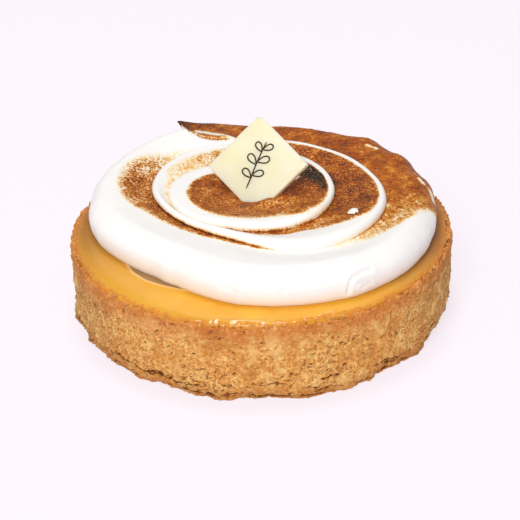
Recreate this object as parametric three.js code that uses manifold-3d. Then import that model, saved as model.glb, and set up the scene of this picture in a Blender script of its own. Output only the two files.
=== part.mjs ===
// A lemon meringue tart for one person: a crumbly shortcrust shell, filled level with
// lemon curd, topped by one torched swirl of soft meringue and a small white-chocolate
// plaque pushed into the eye of the swirl.
//
// Millimetres. +Z up. The origin is the middle of the flat foot of the shell.
// Bearings are in degrees: 0 is +X (the right), 90 is +Y (the back).

import * as THREE from 'three';
import { mergeVertices } from 'three/addons/utils/BufferGeometryUtils.js';
import Module from 'manifold-3d';

// ---- Driving dimensions -----------------------------------------------------------

// Shortcrust shell, baked in a straight ring 85 mm across
const RIM_RADIUS = 42.5;
const FOOT_RADIUS = 41.9;
const SHELL_HEIGHT = 18.8;
const WALL_THICKNESS = 2.9;
const WALL_FOOT = 2;
const WALL_TOP = 17.3;
const FLOOR_THICKNESS = 3.5;
const FOOT_ROUND = 0.9;
const FOOT_EDGE_RISE = 0.7;
const RIM_ROUND = 0.5;
const SKIN_SETBACK = 0.1;

// Its crags, by the depth they reach in or out at the foot, the wall and the rim, and
// the chips in its foot, which rise and fade out up the wall
const FOOT_CRAGS = 0.4;
const WALL_CRAGS = 0.24;
const RIM_CRAGS = 0.18;
const CHIP_DEPTH = 1.2;
const CHIP_SPREAD = 2.6;
const CHIP_RISE = 0.4;
const CHIP_FADE = 6;
const CHIP_BEARINGS = [-153, -124, -101, -72, -45, -27, 18, 64, 112, 158];

// Lemon curd, poured level with the rim and held up by its own skin
const CURD_TOP = 19.4;
const CURD_REACH = 41.6;
const CURD_EDGE_ROUND = 1.5;
const CURD_EDGE_DROP = 0.55;
const GAP = 0.3;

// Meringue: the distance of its edge from the tart's axis, every eighth of a turn
// from bearing 0
const EDGE_RADII = [38.9, 39.3, 38.3, 40.2, 37.9, 31.6, 35.2, 38.6];
const MERINGUE_HEIGHT = 8;
const EDGE_TUCK = 1.3;
const EDGE_RISE = 2.8;
const EDGE_ROUND = 5.5;
const SHOULDER_RISE = 7.6;
const SIDE_BULGE_INSET = 0.35;
const SIDE_BULGE_RISE = 0.85;
const DIP_START = 0.3;

// The ridge of the swirl winds inwards, clockwise, round a centre of its own. Its
// radius is given every eighth of a turn, and at the tip it flares out to the edge.
const SWIRL_CENTRE = new THREE.Vector2(-1, 2.5);
const TIP_BEARING = 117;
const RIDGE_RADII = [26.2, 26.0, 26.7, 29.0, 25.3, 19.3, 19.6, 23.3, 25.4,
  21.8, 18.3, 16.4, 14.6, 13.1, 16.0, 17.2, 13.8, 10, 7, 5, 3.4, 2.1, 1, 0.3, 0];
const RIDGE_STEPS_A_TURN = 8;
const TIP_FLARE = 11.5;
const TIP_FLARE_TURNS = 0.026;
const RIDGE_DEPTH = 2.4;
const RIDGE_FACE_WIDTH = 1.0;
const RIDGE_FACE_SHARE = 0.3;
const RIDGE_FADE_START = 1.75;
const RIDGE_FADE_TURNS = 0.6;
const TIP_LIFT = 1.5;
const TIP_LIFT_TURNS = 0.07;
const TIP_LIFT_EASE = 0.7;
const TIP_LIFT_INSIDE = 0.6;
const TIP_REACH = 1.2;
const FLAP_WIDTH = 7;
const EYE_DEPTH = 2.0;
const EYE_RADIUS = 11;
const EYE_STEEPNESS = 4;

// White-chocolate plaque: a thin square standing on one corner, leaning back
const PLAQUE_SIDE = 16.3;
const PLAQUE_THICKNESS = 1.7;
const PLAQUE_TOP_BLUNT = 0.75;
const PLAQUE_CORNER_BLUNT = 0.2;
const PLAQUE_FACE_CENTRE = new THREE.Vector3(-0.3, 5.5, 32.5);
const PLAQUE_LEAN = 50.5;
const PLAQUE_YAW = -19.3;
const PLAQUE_TURN = 8.2;

// Mesh fineness
const SHELL_SECTORS = 108;
const SHELL_WALL_ROWS = 7;
const CURD_SECTORS = 72;
const CURD_EDGE_ROWS = 3;
const SWIRL_SECTORS = 80;
const BAND_COUNT = 4;
const BAND_STEPS = 6;
const EDGE_CROWDING = 1.5;
const EVEN_STEPS_FROM = 0.8;
const EDGE_PASSES = 6;

const { sin, cos, atan2, sqrt, PI, exp, hypot, floor, max, min } = Math;
const radians = THREE.MathUtils.degToRad;
const smoothstep = THREE.MathUtils.smoothstep;

// ---- Shared helpers -----------------------------------------------------------------

// A smooth curve through evenly spaced values; "at" counts in steps of the list.
function throughValues(values, at, closed) {
  const count = values.length;
  const wrap = (i) => (closed ? (i + count) % count : min(max(i, 0), count - 1));
  const i = floor(at);
  const f = at - i;
  const [a, b, c, d] = [-1, 0, 1, 2].map((step) => values[wrap(i + step)]);
  const slope = (c - a) / 2;
  const bend = a - 2.5 * b + 2 * c - d / 2;
  const twist = (d - a) / 2 + 1.5 * (b - c);
  return b + f * (slope + f * (bend + f * twist));
}

// Repeatable roughness between -1 and 1 for a crumbly surface.
function crumble(a, b) {
  const value = sin(a * 12.9898 + b * 78.233) * 43758.5453;
  return 2 * (value - floor(value)) - 1;
}

function polar(radius, bearing, z) {
  return new THREE.Vector3(radius * cos(bearing), radius * sin(bearing), z);
}

// A closed body from columns of points. Each column runs from the lowest point on the
// axis, round the outside, to the highest. Points that coincide are welded.
function bodyFromColumns(columns) {
  const rows = columns[0].length;
  const positions = columns.flat().flatMap((p) => [p.x, p.y, p.z]);
  const triangles = [];
  for (let c = 0; c < columns.length - 1; c += 1) {
    for (let r = 0; r < rows - 1; r += 1) {
      const here = c * rows + r;
      const next = here + rows;
      triangles.push(here, next, next + 1, here, next + 1, here + 1);
    }
  }
  const loose = new THREE.BufferGeometry();
  loose.setAttribute('position', new THREE.Float32BufferAttribute(positions, 3));
  loose.setIndex(triangles);
  return welded(loose);
}

// Merges points that coincide and drops the triangles that this closes up.
function welded(geometry) {
  const merged = mergeVertices(geometry, 1e-4);
  const index = merged.index.array;
  const kept = [];
  for (let i = 0; i < index.length; i += 3) {
    const [a, b, c] = [index[i], index[i + 1], index[i + 2]];
    if (a !== b && b !== c && c !== a) kept.push(a, b, c);
  }
  merged.setIndex(kept);
  return merged;
}

// The same column function round the whole circle, closed on its first column.
function turnedBody(sectors, columnAt) {
  const columns = [];
  for (let s = 0; s <= sectors; s += 1) columns.push(columnAt(s % sectors));
  return bodyFromColumns(columns);
}

// ---- Shortcrust shell ---------------------------------------------------------------

// How far the lower edge is chipped away at a bearing, 0 to 1.
function chipAt(bearing) {
  const chips = CHIP_BEARINGS.map((place) => {
    const turn = bearing - radians(place);
    const away = atan2(sin(turn), cos(turn)) / radians(CHIP_SPREAD);
    return exp(-(away ** 2));
  });
  return max(...chips);
}

function shellColumn(sector) {
  const bearing = (sector / SHELL_SECTORS) * 2 * PI;
  const chip = CHIP_DEPTH * chipAt(bearing);
  const points = [polar(0, bearing, 0)];
  const add = (radius, z) => points.push(polar(radius, bearing, z));
  const rough = (depth) => depth * crumble(sector, points.length);

  // The foot, then up the outside of the wall
  add(FOOT_RADIUS - FOOT_ROUND - chip, 0);
  const footEdge = FOOT_RADIUS - SKIN_SETBACK - chip;
  add(footEdge + rough(FOOT_CRAGS), FOOT_EDGE_RISE + CHIP_RISE * chip);
  for (let row = 0; row <= SHELL_WALL_ROWS; row += 1) {
    const rise = row / SHELL_WALL_ROWS;
    const lean = FOOT_RADIUS + (RIM_RADIUS - FOOT_RADIUS) * rise - SKIN_SETBACK;
    const chipped = chip * (1 - rise) ** CHIP_FADE;
    const z = WALL_FOOT + (WALL_TOP - WALL_FOOT) * rise;
    add(lean - chipped + rough(WALL_CRAGS), z + rough(RIM_CRAGS));
  }

  // Over the rim and down the inside, which the curd covers
  const rimEdge = RIM_RADIUS - SKIN_SETBACK;
  add(rimEdge + rough(RIM_CRAGS), SHELL_HEIGHT - RIM_ROUND - SKIN_SETBACK + rough(RIM_CRAGS));
  add(RIM_RADIUS - RIM_ROUND, SHELL_HEIGHT);
  add(RIM_RADIUS - WALL_THICKNESS, WALL_TOP);
  add(FOOT_RADIUS - WALL_THICKNESS, FLOOR_THICKNESS);
  add(0, FLOOR_THICKNESS);
  return points;
}

// ---- Lemon curd ---------------------------------------------------------------------

function curdColumn(sector) {
  const bearing = (sector / CURD_SECTORS) * 2 * PI;
  const inside = WALL_THICKNESS + GAP;
  const points = [];
  const add = (radius, z) => points.push(polar(radius, bearing, z));
  add(0, FLOOR_THICKNESS + GAP);
  add(FOOT_RADIUS - inside, FLOOR_THICKNESS + GAP);
  add(RIM_RADIUS - inside, WALL_TOP + GAP);
  for (let row = 0; row <= CURD_EDGE_ROWS; row += 1) {
    const turn = (row / CURD_EDGE_ROWS) * (PI / 2);
    const radius = CURD_REACH - CURD_EDGE_ROUND * (1 - cos(turn));
    add(radius, CURD_TOP - CURD_EDGE_DROP * (1 - sin(turn)));
  }
  add(0, CURD_TOP);
  return points;
}

// ---- Meringue swirl -----------------------------------------------------------------

const MERINGUE_BASE = CURD_TOP + GAP;
const CREST = MERINGUE_BASE + MERINGUE_HEIGHT;
const SHOULDER = MERINGUE_BASE + SHOULDER_RISE;

// Distance from the swirl's centre to the ridge, a number of turns in from the tip.
function ridgeRadius(turn) {
  const flare = TIP_FLARE * exp(-turn / TIP_FLARE_TURNS);
  return throughValues(RIDGE_RADII, turn * RIDGE_STEPS_A_TURN, false) + flare;
}

// Distance from the swirl's centre to the edge of the meringue, along a bearing.
function edgeRadius(bearing) {
  let reach = EDGE_RADII[0];
  for (let pass = 0; pass < EDGE_PASSES; pass += 1) {
    const x = SWIRL_CENTRE.x + reach * cos(bearing);
    const y = SWIRL_CENTRE.y + reach * sin(bearing);
    const eighths = (atan2(y, x) / (PI / 4) + 8) % 8;
    reach += throughValues(EDGE_RADII, eighths, true) - hypot(x, y);
  }
  return reach;
}

// The end of the swirl is lifted to a point, which sinks back along the ridge, and the
// turn that passes under it rises to meet it.
function tipLift(turn) {
  return TIP_LIFT * (exp(-turn / TIP_LIFT_TURNS) + exp((turn - 1) / TIP_LIFT_TURNS));
}

// An inner band falls inwards from the crest outside it (share 0) to the foot of the
// next steep face (share 1). The ridges fade out on the way to the eye.
function bandHeight(share, turn) {
  const fade = 1 - smoothstep(turn, RIDGE_FADE_START, RIDGE_FADE_START + RIDGE_FADE_TURNS);
  const underTip = turn < 2 ? TIP_LIFT * exp((1 - turn) / TIP_LIFT_TURNS) : 0;
  const lift = underTip * (share === 0 ? 1 : TIP_LIFT_INSIDE * (1 - share));
  return CREST - RIDGE_DEPTH * fade * smoothstep(share, 0, 1) + lift;
}

// The outermost band rolls over to the edge, and starts as the flap behind the tip.
function outerHeight(share, turn, width) {
  const inwards = min((share * width) / EDGE_ROUND, 1);
  const rolled = sqrt(1 - (1 - inwards) ** 2);
  const edge = MERINGUE_BASE + EDGE_RISE;
  const dip = (SHOULDER - CREST + RIDGE_DEPTH) * smoothstep(share, DIP_START, 1);
  const roll = edge + (SHOULDER - edge) * rolled - dip;
  const flap = 1 - smoothstep(width, 0, FLAP_WIDTH);
  const lift = tipLift(turn) * (1 - TIP_LIFT_EASE * share * (1 - flap));
  return roll + (CREST - roll) * flap + lift;
}

function swirlPoint(radius, bearing, height) {
  const x = SWIRL_CENTRE.x + radius * cos(bearing);
  const y = SWIRL_CENTRE.y + radius * sin(bearing);
  const dish = EYE_DEPTH * exp(-((radius / EYE_RADIUS) ** EYE_STEEPNESS));
  return new THREE.Vector3(x, y, height - dish);
}

// The edge again, with the tip reaching a little further out.
function tippedEdge(turn, bearing) {
  return edgeRadius(bearing) + TIP_REACH * exp(-turn / TIP_LIFT_TURNS);
}

// The top of the swirl along one bearing, from the edge to the centre.
function swirlTop(turn, bearing) {
  const edge = tippedEdge(turn, bearing);
  const firstLine = turn === 0 ? edge : min(ridgeRadius(turn), edge);
  const bounds = [edge, firstLine, ridgeRadius(turn + 1), ridgeRadius(turn + 2), 0];
  // The steps crowd towards the rolled edge, and even out where the strip moves inwards.
  const crowding = EDGE_CROWDING + (1 - EDGE_CROWDING) * smoothstep(turn, EVEN_STEPS_FROM, 1);
  const points = [];
  for (let band = 0; band < BAND_COUNT; band += 1) {
    const width = bounds[band] - bounds[band + 1];
    const sloped = width - min(RIDGE_FACE_WIDTH, RIDGE_FACE_SHARE * width);
    for (let step = 0; step < BAND_STEPS; step += 1) {
      const even = step / (BAND_STEPS - 1);
      const share = band === 0 ? even ** crowding : even;
      const height = band === 0
        ? outerHeight(share, turn, width)
        : bandHeight(share, turn + band);
      points.push(swirlPoint(bounds[band] - sloped * share, bearing, height));
    }
  }
  points.push(swirlPoint(0, bearing, CREST));
  return points;
}

// The soft side of the swirl along one bearing, from its base on the axis to its edge.
function swirlSide(turn, bearing) {
  const edge = tippedEdge(turn, bearing);
  const side = [[0, 0], [edge - EDGE_TUCK, 0], [edge - SIDE_BULGE_INSET, SIDE_BULGE_RISE]];
  return side.map(([radius, rise]) => new THREE.Vector3(
    SWIRL_CENTRE.x + radius * cos(bearing),
    SWIRL_CENTRE.y + radius * sin(bearing),
    MERINGUE_BASE + rise,
  ));
}

function swirlBody() {
  const columns = [];
  for (let s = 0; s < SWIRL_SECTORS; s += 1) {
    const turn = s / SWIRL_SECTORS;
    const bearing = radians(TIP_BEARING) - turn * 2 * PI;
    columns.push([...swirlSide(turn, bearing), ...swirlTop(turn, bearing)]);
  }
  // The strip of bands joins its own start one band further in.
  const first = columns[0];
  const sideCount = first.length - BAND_COUNT * BAND_STEPS - 1;
  const side = first.slice(0, sideCount);
  const top = first.slice(sideCount + BAND_STEPS);
  const centre = Array(BAND_STEPS).fill(first[first.length - 1]);
  columns.push([...side, ...top, ...centre]);
  // Bearings fall from column to column, so the columns are taken the other way round.
  return bodyFromColumns(columns.reverse());
}

// ---- White-chocolate plaque ---------------------------------------------------------

// A square on its corner with blunted corners; its face is at z = 0 and looks up.
function plaqueGeometry(allowance) {
  const half = PLAQUE_SIDE / Math.SQRT2 + allowance * Math.SQRT2;
  const outline = new THREE.Shape();
  const corners = [[half, 0], [0, half], [-half, 0], [0, -half]];
  corners.forEach(([x, y], i) => {
    const blunt = y > 0 ? PLAQUE_TOP_BLUNT : PLAQUE_CORNER_BLUNT;
    const along = new THREE.Vector2(x, y).setLength(half - blunt);
    const across = new THREE.Vector2(-y, x).setLength(blunt);
    const start = along.clone().sub(across);
    const end = along.clone().add(across);
    if (i === 0) outline.moveTo(start.x, start.y);
    else outline.lineTo(start.x, start.y);
    outline.lineTo(end.x, end.y);
  });
  const depth = PLAQUE_THICKNESS + 2 * allowance;
  const body = new THREE.ExtrudeGeometry(outline, { depth, bevelEnabled: false });
  return body.translate(0, 0, allowance - depth);
}

function setPlaquePlace(object) {
  object.rotation.order = 'ZXY';
  object.rotation.set(radians(PLAQUE_LEAN), 0, radians(PLAQUE_YAW));
  object.rotateZ(radians(PLAQUE_TURN));
  object.position.copy(PLAQUE_FACE_CENTRE);
  object.updateMatrixWorld(true);
}

// ---- Cutting ------------------------------------------------------------------------

const wasm = await Module();
wasm.setup();

function toSolid(geometry) {
  const bare = new THREE.BufferGeometry();
  bare.setAttribute('position', geometry.getAttribute('position'));
  if (geometry.index) bare.setIndex(geometry.index);
  const closed = welded(bare);
  return new wasm.Manifold(new wasm.Mesh({
    numProp: 3,
    vertProperties: Float32Array.from(closed.getAttribute('position').array),
    triVerts: Uint32Array.from(closed.index.array),
  }));
}

function toGeometry(solid) {
  const mesh = solid.getMesh();
  const geometry = new THREE.BufferGeometry();
  geometry.setAttribute('position', new THREE.BufferAttribute(mesh.vertProperties, 3));
  geometry.setIndex(new THREE.BufferAttribute(mesh.triVerts, 1));
  return geometry;
}

// ---- Assembly -----------------------------------------------------------------------

function namedMesh(name, geometry, color, roughness) {
  geometry.computeVertexNormals();
  const material = new THREE.MeshStandardMaterial({ color, roughness, metalness: 0 });
  const mesh = new THREE.Mesh(geometry, material);
  mesh.name = name;
  return mesh;
}

const plaque = namedMesh('plaque', plaqueGeometry(0), 0xfff6ce, 0.35);
setPlaquePlace(plaque);

const plaqueSlot = plaqueGeometry(GAP).applyMatrix4(plaque.matrixWorld);
const meringue = toSolid(swirlBody()).subtract(toSolid(plaqueSlot));

const tart = new THREE.Group();
tart.add(namedMesh('crust_shell', turnedBody(SHELL_SECTORS, shellColumn), 0xd7914b, 0.85));
tart.add(namedMesh('lemon_curd', turnedBody(CURD_SECTORS, curdColumn), 0xf7c352, 0.25));
tart.add(namedMesh('meringue', toGeometry(meringue), 0xfdf8f2, 0.6));
tart.add(plaque);

export default tart;
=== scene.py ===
"""A lemon meringue tart for one person, seen from the front and a little above.

A crumbly shortcrust case is filled level with glossy lemon curd. On it lies one swirl
of soft meringue, browned by a torch between its ridges, with a thin square of white
chocolate standing on its corner in the eye of the swirl.

Shapes are worked out in millimetres, with +Z up and the middle of the tart's foot at
the origin, and become metres when a piece is made. Bearings are in degrees: 0 is +X,
the right, and 90 is +Y, the back.
"""

import math
from itertools import product

import bpy
import numpy as np
from mathutils import Matrix, Vector


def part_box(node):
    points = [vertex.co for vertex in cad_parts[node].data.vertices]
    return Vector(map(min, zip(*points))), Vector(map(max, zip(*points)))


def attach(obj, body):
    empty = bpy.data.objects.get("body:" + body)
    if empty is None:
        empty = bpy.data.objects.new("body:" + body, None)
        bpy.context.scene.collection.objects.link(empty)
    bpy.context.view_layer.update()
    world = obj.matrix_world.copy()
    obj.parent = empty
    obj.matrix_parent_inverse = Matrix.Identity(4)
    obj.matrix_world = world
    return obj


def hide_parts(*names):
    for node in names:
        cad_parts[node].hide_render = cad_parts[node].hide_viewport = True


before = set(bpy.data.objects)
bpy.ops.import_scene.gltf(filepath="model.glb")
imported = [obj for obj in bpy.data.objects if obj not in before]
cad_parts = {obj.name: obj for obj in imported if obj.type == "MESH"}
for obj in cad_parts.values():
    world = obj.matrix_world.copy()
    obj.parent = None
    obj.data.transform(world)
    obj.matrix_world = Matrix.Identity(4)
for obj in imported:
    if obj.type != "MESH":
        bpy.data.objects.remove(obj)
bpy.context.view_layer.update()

MM = 0.001

# ---- Driving dimensions ------------------------------------------------------------------

crust_low, crust_high = (np.array(corner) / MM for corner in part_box("crust_shell"))
curd_high = np.array(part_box("lemon_curd")[1]) / MM

RIM_RADIUS = (crust_high[0] - crust_low[0]) / 2
FOOT_RADIUS = RIM_RADIUS - 0.6
SHELL_HEIGHT = crust_high[2]
CURD_TOP = curd_high[2]
CURD_REACH = curd_high[0]

# Shortcrust case
WALL_THICKNESS = 2.9
WALL_TOP = 17.3
FLOOR_THICKNESS = 3.5
FOOT_ROUND = 1.1
RIM_ROUND = 0.55
CRUST_SECTORS = 1260
WALL_ROWS = 88

# Meringue: the distance of its edge from the tart's axis, every eighth of a turn
EDGE_RADII = (38.9, 39.3, 38.3, 40.2, 37.9, 31.6, 35.2, 38.6)
MERINGUE_FOOT = CURD_TOP - 0.1
EDGE_HEIGHT = CURD_TOP + 3.1
SHOULDER = CURD_TOP + 7.9
CREST = CURD_TOP + 8.3
EDGE_TUCK = 1.3

# How round the edge is above its widest line, and how far it stands up, by bearing
EDGE_ROUNDS = {118: 3.5, 100: 4.5, 60: 5.5, -170: 5.5, -195: 4.2, -243: 3.5}
EDGE_LIFTS = {118: 0.5, 90: 0.2, 60: 0, -170: 0, -195: 0.5, -225: 1.0, -243: 1.6}

# Where the edge bulges: bearing and spread in degrees, and rise
EDGE_BULGES = ((43, 4.5, 0.8), (25, 4, 0.7), (8, 3, 0.35), (-58, 4, 0.3), (-98, 5, 0.3),
               (-128, 4, 0.25))

# Waves along the edge: height, size, seed and octaves
EDGE_WAVES = ((0.22, 9, 51, 2), (0.1, 2.4, 53, 2))

# The swirl winds inwards, clockwise, from its tip. Every eighth of a turn: how far the
# ridge is from the middle, how wide its steep outer face is, and how deep its foot lies
SWIRL_CENTRE = np.array((-1.0, 2.5))
TIP_BEARING = 117
RIDGE_RADII = (26.2, 25.0, 26.0, 28.5, 25.3, 18.9, 19.3, 23.0, 24.6, 19.9, 17.6, 16.5,
               15.0, 13.7, 17.2, 17.8, 14.5, 10, 7, 5, 3.4, 2.1, 1, 0.3, 0)
RIDGE_FACES = (0.5, 0.6, 0.8, 1.0, 1.7, 1.1, 0.9, 1.0, 0.9, 0.9, 0.9, 0.9,
               1.6, 2.0, 1.9, 1.8, 1.4, 1, 1, 1, 1, 1, 1, 1, 1)
RIDGE_DEPTHS = (1.6, 1.6, 1.9, 2.1, 2.3, 1.7, 1.5, 1.7, 1.8, 1.8, 1.9, 1.9,
                2.1, 2.1, 1.8, 1.4, 0.9, 0.4, 0, 0, 0, 0, 0, 0, 0)

# A steep face takes at most this share of its band, and curves in at its foot by the dip,
# in radians
FACE_LIMIT = 0.35
FACE_DIP = 0.7
EYE_BAND = 3
EYE_DEPTH = 2.0
EYE_RADIUS = 11

# The tip is a thin sheet that lies over the turn below and curls up at its point. What is
# counted in turns is measured along the swirl from the tip
FLAP_TURNS = (0.03, 0.08)
TIP_FLARE = 8
TIP_FLARE_TURNS = 0.009
TIP_OPENING_TURNS = 0.0008
TIP_RISE = 1.8
TIP_RISE_TURNS = 0.02
TIP_CURL_TURNS = 0.012
TIP_POINT_TURNS = 0.004
TIP_PERCH = 2.0
TIP_PERCH_ROW = 9
TIP_REACH = 0.7
TIP_LEAN = 1.2
LIP_THICKNESS = 0.9
POINT_THICKNESS = 0.3
LIP_TOAST = 0.42
SHEET_SAG = 0.45

# Shares of the rows: those up the sheet's outer edge, of these the ones that hug the turn
# below, and those round the lip before it goes back under the sheet
SHEET_EDGE_SHARE = 0.3
SHEET_HUG_SHARE = 0.85
LIP_ROLL_SHARE = 0.6

SWIRL_COLUMNS = 880
SIDE_ROWS = 10
SLOPE_ROWS = 33
FACE_ROWS = 9

# What a row of the swirl's points has where nothing else is said
PLAIN_ROW = {"radius": 0, "height": 0, "lean": 0, "toast": 0, "sugary": 1}

# White-chocolate plaque: a thin square on its corner, leaning back
PLAQUE_SIDE = 16.3
PLAQUE_THICKNESS = 1.7
PLAQUE_TOP_BLUNT = 0.75
PLAQUE_CORNER_BLUNT = 0.2
PLAQUE_CENTRE = Vector((-0.3, 5.5, 32.5))
PLAQUE_LEAN = 50.5
PLAQUE_YAW = -19.3
PLAQUE_TURN = 8.2

# Camera: its rise and roll in degrees, its distance and lens, and where it aims, in
# millimetres across and up the picture from the middle of the foot
CAMERA_RISE = 30.5
CAMERA_DISTANCE = 600
CAMERA_ROLL = -2.045
CAMERA_LENS = 183.24
AIM_ACROSS = -0.84
AIM_UP = 9.79


# ---- Curves, noise and solids ----------------------------------------------------------

def smoothstep(value, low, high):
    """0 below low, 1 above high, and a smooth rise between."""
    share = np.clip((value - low) / (high - low), 0, 1)
    return share * share * (3 - 2 * share)


def mix(a, b, share):
    """From a to b by a share from 0 to 1."""
    return a + (b - a) * share


def through(values, at, closed=False):
    """A smooth curve through evenly spaced values, counted in steps of the list."""
    values = np.array(values, float)
    start = np.floor(at).astype(int)
    part = at - start
    places = [start + step for step in (-1, 0, 1, 2)]
    if closed:
        places = [place % len(values) for place in places]
    else:
        places = [np.clip(place, 0, len(values) - 1) for place in places]
    a, b, c, d = (values[place] for place in places)
    slope = (c - a) / 2
    bend = a - 2.5 * b + 2 * c - d / 2
    twist = (d - a) / 2 + 1.5 * (b - c)
    return b + part * (slope + part * (bend + part * twist))


def by_bearing(table, bearing):
    """A value that changes with the bearing, from a table of bearings in degrees."""
    places = sorted(table)
    return np.interp(bearing, places, [table[place] for place in places])


def chance(cell, seed):
    """A repeatable number from 0 to 1 for each cell of a grid."""
    x, y, z = (cell[..., axis].astype(np.int64) for axis in range(3))
    mixed = (x * 73856093) ^ (y * 19349663) ^ (z * 83492791) ^ (seed * 2654435761)
    mixed &= 0xFFFFFFFF
    mixed = ((mixed ^ (mixed >> 15)) * 0x2C1B3C6D) & 0xFFFFFFFF
    mixed = ((mixed ^ (mixed >> 12)) * 0x297A2D39) & 0xFFFFFFFF
    return ((mixed ^ (mixed >> 15)) & 0xFFFFFF) / 0xFFFFFF


def lumps(points, size, seed, octaves=1):
    """Smooth random lumps about that size across, from -1 to 1."""
    total = np.zeros(points.shape[:-1])
    strength = 1.0
    for octave in range(octaves):
        scaled = points / size + 17.3 * octave
        cell = np.floor(scaled)
        part = scaled - cell
        part = part * part * (3 - 2 * part)
        for corner in product((0, 1), repeat=3):
            sides = np.where(corner, part, 1 - part)
            level = 2 * chance(cell + corner, seed + octave) - 1
            total += strength * np.prod(sides, axis=-1) * level
        size /= 2.1
        strength /= 2
    return total


def layered(points, layers):
    """Lumps of several sizes together, each given by height, size, seed and octaves."""
    return sum(height * lumps(points, size, seed, octaves) for height, size, seed, octaves in layers)


def at_bearing(radius, bearing, height, centre=(0, 0)):
    """Points in polar form; the bearing is in radians."""
    x = centre[0] + radius * np.cos(bearing)
    y = centre[1] + radius * np.sin(bearing)
    return np.stack(np.broadcast_arrays(x, y, height), axis=-1)


def away_from(points, line):
    """Distance of points in plan from a line through two or more places."""
    nearest = np.full(points.shape[:-1], np.inf)
    for start, end in zip(line[:-1], line[1:]):
        start, end = np.array(start, float), np.array(end, float)
        along = end - start
        share = np.clip(((points[..., :2] - start) @ along) / (along @ along), 0, 1)
        spot = start + share[..., None] * along
        nearest = np.minimum(nearest, np.linalg.norm(points[..., :2] - spot, axis=-1))
    return nearest


def strip_triangles(columns, rows, closed):
    """Triangles between neighbouring columns of points."""
    last = columns if closed else columns - 1
    column, row = np.meshgrid(np.arange(last), np.arange(rows - 1), indexing="ij")
    here = (column * rows + row).ravel()
    there = ((column + 1) % columns * rows + row).ravel()
    lower = np.stack((here, there, there + 1), axis=1)
    upper = np.stack((here, there + 1, here + 1), axis=1)
    return np.concatenate((lower, upper))


def ring_triangles(rings, count, first=0):
    """Triangles between closed rings of points that follow one another."""
    triangles = []
    for ring in range(rings - 1):
        for index in range(count):
            here = first + ring * count + index
            there = first + ring * count + (index + 1) % count
            triangles += [(here, there, there + count), (here, there + count, here + count)]
    return triangles


def welded(points, triangles, painted):
    """Joins points that coincide and drops the triangles that this closes up."""
    keys = np.round(points / 0.002).astype(np.int64)
    _, first, place = np.unique(keys, axis=0, return_index=True, return_inverse=True)
    triangles = place.reshape(-1)[triangles]
    a, b, c = triangles.T
    triangles = triangles[(a != b) & (b != c) & (c != a)]
    return points[first], triangles, {name: paint[first] for name, paint in painted.items()}


def outward(points, triangles):
    """The triangles, turned so that the body's volume is positive."""
    a, b, c = (points[triangles[:, corner]] for corner in range(3))
    volume = np.einsum("ij,ij->", a, np.cross(b, c))
    return triangles if volume > 0 else triangles[:, ::-1]


def point_normals(points, triangles):
    """The way the skin faces at each point."""
    a, b, c = (points[triangles[:, corner]] for corner in range(3))
    across = np.cross(b - a, c - a)
    normals = np.zeros_like(points)
    for corner in range(3):
        np.add.at(normals, triangles[:, corner], across)
    return normals / np.maximum(np.linalg.norm(normals, axis=1, keepdims=True), 1e-12)


def piece(name, points, triangles, finish, replaces=None, painted=None):
    """A smooth mesh in metres that rides on the tart's one body."""
    mesh = bpy.data.meshes.new(name)
    mesh.from_pydata((np.asarray(points) * MM).tolist(), [], np.asarray(triangles).tolist())
    mesh.update()
    mesh.shade_smooth()
    for paint_name, values in (painted or {}).items():
        vector = np.ndim(values) == 2
        layer = mesh.attributes.new(paint_name, "FLOAT_VECTOR" if vector else "FLOAT", "POINT")
        layer.data.foreach_set("vector" if vector else "value", np.asarray(values, np.float32).ravel())
    mesh.materials.append(finish)
    made = bpy.data.objects.new(name, mesh)
    bpy.context.scene.collection.objects.link(made)
    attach(made, "root")
    if replaces:
        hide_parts(replaces)
    return made


def round_piece(name, skin, finish, node, painted):
    """A closed body from columns of points that go once round the tart's axis."""
    painted = {paint: np.broadcast_to(values, skin.shape[:2]).ravel() for paint, values in painted.items()}
    triangles = strip_triangles(*skin.shape[:2], closed=True)
    points, triangles, painted = welded(skin.reshape(-1, 3), triangles, painted)
    return piece(name, points, outward(points, triangles), finish, node, painted)


# ---- Finishes ---------------------------------------------------------------------------

class Value:
    """A socket that takes part in sums."""

    def __init__(self, finish, socket):
        self.finish = finish
        self.socket = socket

    def reckon(self, operation, *numbers):
        """A sum of this kind, from numbers or other values."""
        return self.finish.add("Math", {"operation": operation}, dict(enumerate(numbers)))

    def __add__(self, other):
        return self.reckon("ADD", self, other)

    def __sub__(self, other):
        return self.reckon("SUBTRACT", self, other)

    def __rsub__(self, other):
        return self.reckon("SUBTRACT", other, self)

    def __mul__(self, other):
        return self.reckon("MULTIPLY", self, other)

    def __truediv__(self, other):
        return self.reckon("DIVIDE", self, other)

    __radd__ = __add__
    __rmul__ = __mul__

    def above(self, low, high):
        """0 below low, 1 above high, and a smooth rise between."""
        settings = {"interpolation_type": "SMOOTHSTEP", "clamp": True}
        limits = {"Value": self, "From Min": low, "From Max": high}
        return self.finish.add("MapRange", settings, limits)


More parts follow.
